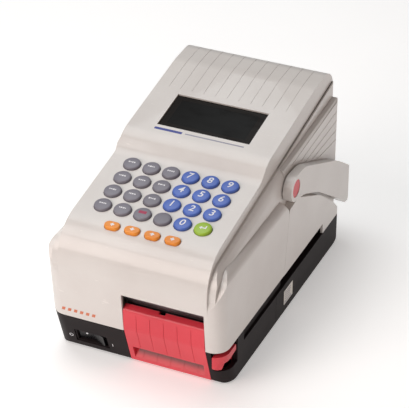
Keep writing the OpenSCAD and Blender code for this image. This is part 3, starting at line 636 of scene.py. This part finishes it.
def mark_on(node, mesh, ink, up_mm=0.0, lift_mm=0.0):
    """Lays a mark on the top of a key and puts it on the key's body."""
    low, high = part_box(node)
    mesh.transform(Matrix.Translation((0, up_mm * MM, (top + lift_mm) * MM)))
    mark = show("mark_" + node[4:], mesh, ink, on_slope((low + high) / 2))
    return finish_piece(mark, body_of[node], slot_of[node])


for digit in "0123456789":
    mark_on("key_" + digit, digit_mesh("digit", digit, 10.2), white_ink, 0.4)

arrow_up = [(-2.6, -0.6), (0, 2.0), (2.6, -0.6), (0.9, -0.6), (0.9, -2.0), (-0.9, -2.0), (-0.9, -0.6)]
turns = {"key_up": 0, "key_left": 90, "key_down": 180, "key_right": 270}
lean = math.sin(key_slope)
square = math.cos(key_slope)
for node, degrees in turns.items():
    mesh = flat_shape("arrow", [arrow_up])
    mesh.transform(Matrix.Rotation(math.radians(degrees), 4, "Z") @ Matrix.Scale(0.95, 4))
    low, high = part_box(node)
    tall = ((high.z - low.z) * square - (high.y - low.y) * lean) / (square ** 2 - lean ** 2)
    mark_on(node, mesh, white_ink, 0, tall / 2 / MM - top + 0.03)

bent_arrow = [(-3.2, -1.0), (-0.9, 1.0), (-0.9, -0.35), (2.0, -0.35), (2.0, 2.0), (3.2, 2.0)]
bent_arrow += [(3.2, -1.6), (-0.9, -1.6), (-0.9, -3.0)]
mark_on("key_enter", flat_shape("bent_arrow", [bent_arrow]), white_ink, 0.5)
mark_on("key_stop", flat_shape("stop_bar", [bar(0, 0, 7.2, 3.4)]), red_ink, 0.8)
for number in range(1, 12):
    strokes = []
    x = -3.4
    for part in range(4):
        width = 0.8 + (number * 7 + part * 5) % 4 * 0.3
        strokes.append(bar(x + width / 2, 0, width, 1.7 - (number + part) % 3 * 0.25))
        x += width + 0.5
    mark_on(f"key_f{number}", flat_shape("strokes", strokes, 0.2), white_ink, 0.5, 0.01)

# %% [markdown]
# ## Marks on the housings
# Lettering isn't copied. Plain bars stand where the names of the maker and of the series are
# printed: a dark blue and a grey stripe under the window, and a row of slanted dashes on the
# front. The power switch keeps its two signs, a bar for on and a ring for off. Each mark finds
# its own place: a ray is dropped on the CAD surface, and the mark lies where it lands.

# %% Land on a surface


def landing(node, start, way):
    """Where a ray from start meets a CAD node, and the surface's direction there."""
    mesh = nodes[node].data
    corners = [v.co for v in mesh.vertices]
    faces = [list(face.vertices) for face in mesh.polygons]
    place, normal, _, _ = BVHTree.FromPolygons(corners, faces).ray_cast(Vector(start), Vector(way))
    return place, normal


def lie_flat(place, normal, along=(1, 0, 0)):
    """From a flat drawing to a surface; the drawing's X runs along the given direction."""
    side = (Vector(along) - normal * normal.dot(Vector(along))).normalized()
    up = normal.cross(side)
    turn = Matrix((side, up, normal)).transposed().to_4x4()
    return Matrix.Translation(place + normal * 0.03 * MM) @ turn


def printed(name, node, outlines, ink, start, way, along=(1, 0, 0), thick_mm=0.12):
    """A flat mark on a housing, on the housing's own body."""
    mesh = flat_shape(name, outlines, thick_mm)
    place, normal = landing(node, start, way)
    mark = show(name, mesh, ink, lie_flat(place, normal, along))
    return finish_piece(mark, body_of[node], slot_of[node])


def ring_outlines(radius, hole, steps=28):
    """The quads of a flat ring, one outline each."""
    turn = [2 * math.pi * i / steps for i in range(steps + 1)]
    quads = []
    for a, b in zip(turn, turn[1:]):
        inner = [(hole * math.cos(t), hole * math.sin(t)) for t in (a, b)]
        outer = [(radius * math.cos(t), radius * math.sin(t)) for t in (b, a)]
        quads.append(inner + outer)
    return quads


def round_outline(radius, steps=24):
    """Corners of a round dot."""
    turn = [2 * math.pi * i / steps for i in range(steps)]
    return [(radius * math.cos(t), radius * math.sin(t)) for t in turn]


# %% Stripes, dashes and power signs
slope_turn = Matrix.Rotation(key_slope, 3, "X")
into_slope = slope_turn @ Vector((0, 0, -1))
for name, ink, x, width, height in (
    ("stripe_dark", blue_ink, -31.5, 27, 3.0), ("stripe_pale", grey_ink, 13.5, 57, 1.5),
):
    start = window_middle + slope_turn @ Vector((x * MM, -28.4 * MM, 20 * MM))
    printed(name, "top_cover", [bar(0, 0, width, height)], ink, start, into_slope)

body_low, body_high = cad_bounds
FAR = 0.1
INTO_FRONT = (0, 1, 0)
slanted = ((-17.1, -1.7), (-13.9, -1.7), (-12.9, 1.7), (-16.1, 1.7))
dashes = [[(x + 5.9 * i, y) for x, y in slanted] for i in range(6)]
dashes_start = (-0.054, body_low.y - FAR, 0.050)
printed("series_dashes", "top_cover", dashes, orange_ink, dashes_start, INTO_FRONT)

switch_low, switch_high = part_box("switch_body")
sign_z = switch_low.z + 0.0055
for name, x, outlines in (
    ("sign_off", switch_low.x - 0.0046, ring_outlines(1.9, 1.35)),
    ("sign_on", switch_high.x + 0.0040, [bar(0, 0, 0.6, 3.6)]),
):
    printed(name, "front_bezel", outlines, white_ink, (x, body_low.y - FAR, sign_z), INTO_FRONT)
rocker_low, rocker_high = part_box("power_rocker")
rocker_x = rocker_low.x * 0.72 + rocker_high.x * 0.28
rocker_z = (rocker_low.z + rocker_high.z) / 2
dot_start = (rocker_x, body_low.y - FAR, rocker_z)
printed("rocker_dot", "power_rocker", [round_outline(1.0)], white_ink, dot_start, INTO_FRONT)

# %% Sticker on the right side
side_start = (body_high.x + FAR, -0.001, 0.0165)
side_way = (-1, 0, 0)
REARWARD = (0, 1, 0)
printed("side_sticker", "base_tray", [bar(0, 0, 21, 15)], paper, side_start, side_way, REARWARD)
lines = [bar(-1.5, 5 - 2.4 * i, 15 - (i * 5) % 4, 0.8) for i in range(4)]
lines += [bar(-8.5 + 1.1 * i, -5.4, 0.35 + 0.3 * (i % 3 == 0), 2.6) for i in range(15)]
side_lines = printed("sticker_lines", "base_tray", lines, grey_ink, side_start, side_way, REARWARD)
side_lines.data.transform(Matrix.Translation((0.05 * MM, 0, 0)))
print("sticker", [round(v, 4) for v in side_lines.dimensions])

# %% [markdown]
# ## Two materials in one piece
# Some CAD pieces join two materials, such as a rubber roller on its steel shaft. A copy of the
# mesh stands for such a piece, and each face takes its material from where it lies.

# %% Shafts, chips and sockets


def two_tone(node, name, parts):
    """A copy of a CAD node whose faces take the first material whose test holds."""
    mesh = nodes[node].data.copy()
    mesh.materials.clear()
    mesh.materials.append(FINISHES[slot_of[node]])
    for material, _ in parts:
        mesh.materials.append(material)
    for face in mesh.polygons:
        hits = [i for i, (_, test) in enumerate(parts) if test(face.center / MM)]
        face.material_index = hits[0] + 1 if hits else 0
    obj = bpy.data.objects.new(name, mesh)
    bpy.context.scene.collection.objects.link(obj)
    print(name, "faces", len(mesh.polygons), "materials", len(mesh.materials))
    return finish_piece(obj, body_of[node], slot_of[node], node)


def near_axis(joint_name, radius_mm):
    """Tests whether a place lies within radius of a joint's axis along X."""
    _, y, z = joint[joint_name]["pos_m"]
    return lambda c: math.hypot(c.y - y / MM, c.z - z / MM) < radius_mm


board_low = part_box("main_board")[0]
lacquer_top = board_low.z / MM + 1.7
two_tone("platen_roller", "platen_on_shaft", [(steel, near_axis("platen_spin", 3.2))])
two_tone("pinch_roller", "pinch_on_shaft", [(steel, near_axis("liner_roller_spin", 1.7))])
two_tone("main_board", "board_with_chips", [
    (steel, lambda c: c.z > lacquer_top and c.y > -8),
    (black_gloss, lambda c: c.z > lacquer_top),
])
two_tone("rear_sockets", "sockets", [(steel, lambda c: c.x > -45)])

# %% [markdown]
# ## Repeated small parts
# Pins, chip legs and contact domes come in rows. One Geometry Nodes group makes them all: a line
# of points carries copies of a block, a second line carries the whole row, and a fixed seed
# varies the length of each copy a little. The result is turned into a plain mesh.

# %% A group for rows


def rows_group():
    """Rows of small blocks; every size is a named input."""
    group = bpy.data.node_groups.new("rows_of_blocks", "GeometryNodeTree")
    wanted = (
        ("Count", "NodeSocketInt"), ("Step", "NodeSocketVector"), ("Rows", "NodeSocketInt"),
        ("Row Step", "NodeSocketVector"), ("Size", "NodeSocketVector"),
        ("Variation", "NodeSocketFloat"), ("Seed", "NodeSocketInt"),
        ("Material", "NodeSocketMaterial"),
    )
    for name, kind in wanted:
        group.interface.new_socket(name=name, in_out="INPUT", socket_type=kind)
    group.interface.new_socket(name="Geometry", in_out="OUTPUT", socket_type="NodeSocketGeometry")

    def add(kind, links):
        made = group.nodes.new(kind)
        for key, socket in links.items():
            group.links.new(socket, made.inputs[key])
        return made

    given = group.nodes.new("NodeGroupInput").outputs
    line = add("GeometryNodeMeshLine", {"Count": given["Count"], "Offset": given["Step"]})
    block = add("GeometryNodeMeshCube", {"Size": given["Size"]})
    change = add("FunctionNodeRandomValue", {"Seed": given["Seed"]})
    change.data_type = "FLOAT"
    low = add("ShaderNodeMath", {1: given["Variation"]})
    low.operation = "SUBTRACT"
    low.inputs[0].default_value = 1.0
    number = [s for s in change.inputs if s.type == "VALUE"]
    group.links.new(low.outputs[0], number[0])
    number[1].default_value = 1.0
    size = add("ShaderNodeCombineXYZ", {"Z": [s for s in change.outputs if s.type == "VALUE"][0]})
    size.inputs["X"].default_value = 1.0
    size.inputs["Y"].default_value = 1.0
    row = add("GeometryNodeInstanceOnPoints", {
        "Points": line.outputs["Mesh"], "Instance": block.outputs["Mesh"],
        "Scale": size.outputs["Vector"],
    })
    second = add("GeometryNodeMeshLine", {"Count": given["Rows"], "Offset": given["Row Step"]})
    rows = add("GeometryNodeInstanceOnPoints", {
        "Points": second.outputs["Mesh"], "Instance": row.outputs["Instances"],
    })
    real = add("GeometryNodeRealizeInstances", {"Geometry": rows.outputs["Instances"]})
    paint = add("GeometryNodeSetMaterial", {
        "Geometry": real.outputs["Geometry"], "Material": given["Material"],
    })
    add("NodeGroupOutput", {"Geometry": paint.outputs["Geometry"]})
    return group


ROWS = rows_group()
print("group inputs", [i.name for i in ROWS.interface.items_tree if i.in_out == "INPUT"])


def block_rows(name, node, matrix, **values):
    """Rows of blocks centred on a place, riding on the body of a CAD node; sizes in millimetres."""
    obj = bpy.data.objects.new(name, bpy.data.meshes.new(name))
    bpy.context.scene.collection.objects.link(obj)
    modifier = obj.modifiers.new("rows", "NODES")
    modifier.node_group = ROWS
    inputs = {i.name: i.identifier for i in ROWS.interface.items_tree if i.in_out == "INPUT"}
    for key, value in values.items():
        if isinstance(value, tuple):
            value = [v * MM for v in value]
        modifier[inputs[key.replace("_", " ")]] = value
    plain_mesh(obj)
    spots = [v.co for v in obj.data.vertices]
    middle = Vector([(min(c[i] for c in spots) + max(c[i] for c in spots)) / 2 for i in range(3)])
    obj.data.transform(matrix @ Matrix.Translation(-middle))
    print(name, len(obj.data.polygons))
    return finish_piece(obj, body_of[node], slot_of[node])


# %% Pins, legs, domes and fins
socket_low, socket_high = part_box("rear_sockets")
pins_at = Vector((socket_high.x - 0.0166, socket_high.y - 0.0042, (socket_low.z + socket_high.z) / 2))
block_rows(
    "data_pins", "rear_sockets", Matrix.Translation(pins_at), Count=5, Step=(2.8, 0, 0), Rows=2,
    Row_Step=(0, 0, 2.8), Size=(0.9, 3.4, 0.9), Variation=0.06, Seed=3, Material=brass,
)
for name, x, y, count, width in (
    ("large_chip_legs", -45, -51, 13, 19.2), ("small_chip_legs", -50, -22, 12, 13.2),
):
    place = Vector((x * MM, y * MM, board_low.z + 1.9 * MM))
    block_rows(
        name, "main_board", Matrix.Translation(place), Count=count, Step=(0, 1.27, 0), Rows=2,
        Row_Step=(width, 0, 0), Size=(1.3, 0.5, 0.7), Variation=0.1, Seed=7, Material=steel,
    )
first, last = [sum(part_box(n), Vector()) / 2 for n in ("key_f10", "key_9")]
domes_at = (first + last) / 2 + into_slope * 0.0157
pitch = ((last - first).x / 5 / MM, (slope_turn.inverted() @ (last - first)).y / 3 / MM)
block_rows(
    "contact_pads", "key_board", on_slope(domes_at), Count=6, Step=(pitch[0], 0, 0), Rows=4,
    Row_Step=(0, pitch[1], 0), Size=(6.0, 6.0, 0.8), Variation=0.08, Seed=11, Material=steel,
)
supply_low, supply_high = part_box("power_supply")
fins_at = Vector(((supply_low.x + supply_high.x) / 2, (supply_low.y + supply_high.y) / 2, supply_high.z))
block_rows(
    "cooling_fins", "power_supply", Matrix.Translation(fins_at), Count=12, Step=(3.2, 0, 0),
    Rows=1, Row_Step=(0, 0, 0), Size=(1.1, 60, 5.0), Variation=0.05, Seed=5, Material=aluminium,
)

# %% [markdown]
# ## Inside the roll
# The label roll is wound on a card core that turns on the spindle, between two guide discs.

# %% Core and guides


def tube_mesh(name, inner_mm, outer_mm, length_mm, steps=56):
    """A ring about X: a tube or, if it is short, a disc with a hole."""
    work = bmesh.new()
    half = length_mm / 2
    section = ((inner_mm, -half), (outer_mm, -half), (outer_mm, half), (inner_mm, half))
    loops = []
    for radius, x in section:
        turn = [2 * math.pi * i / steps for i in range(steps)]
        places = [(x * MM, radius * MM * math.cos(t), radius * MM * math.sin(t)) for t in turn]
        loops.append([work.verts.new(p) for p in places])
    for k in range(4):
        near, far = loops[k], loops[(k + 1) % 4]
        for i in range(steps):
            j = (i + 1) % steps
            work.faces.new([near[i], near[j], far[j], far[i]])
    bmesh.ops.recalc_face_normals(work, faces=work.faces)
    mesh = bpy.data.meshes.new(name)
    work.to_mesh(mesh)
    work.free()
    return mesh


roll_low, roll_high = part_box("label_roll")
roll_middle = (roll_low + roll_high) / 2
roll_width = (roll_high.x - roll_low.x) / MM
core = tube_mesh("roll_core", 11.7, 12.6, roll_width + 1)
core = show("roll_core", core, card, Matrix.Translation(roll_middle))
finish_piece(core, body_of["label_roll"], slot_of["label_roll"])
for side, name in ((-1, "left_guide"), (1, "right_guide")):
    place = roll_middle + Vector((side * (roll_width / 2 + 2.2) * MM, 0, 0))
    guide = show(name, tube_mesh(name, 11.6, 33, 1.6), dark, Matrix.Translation(place))
    finish_piece(guide, body_of["roll_holder"], slot_of["roll_holder"])
print("roll width", round(roll_width, 1))
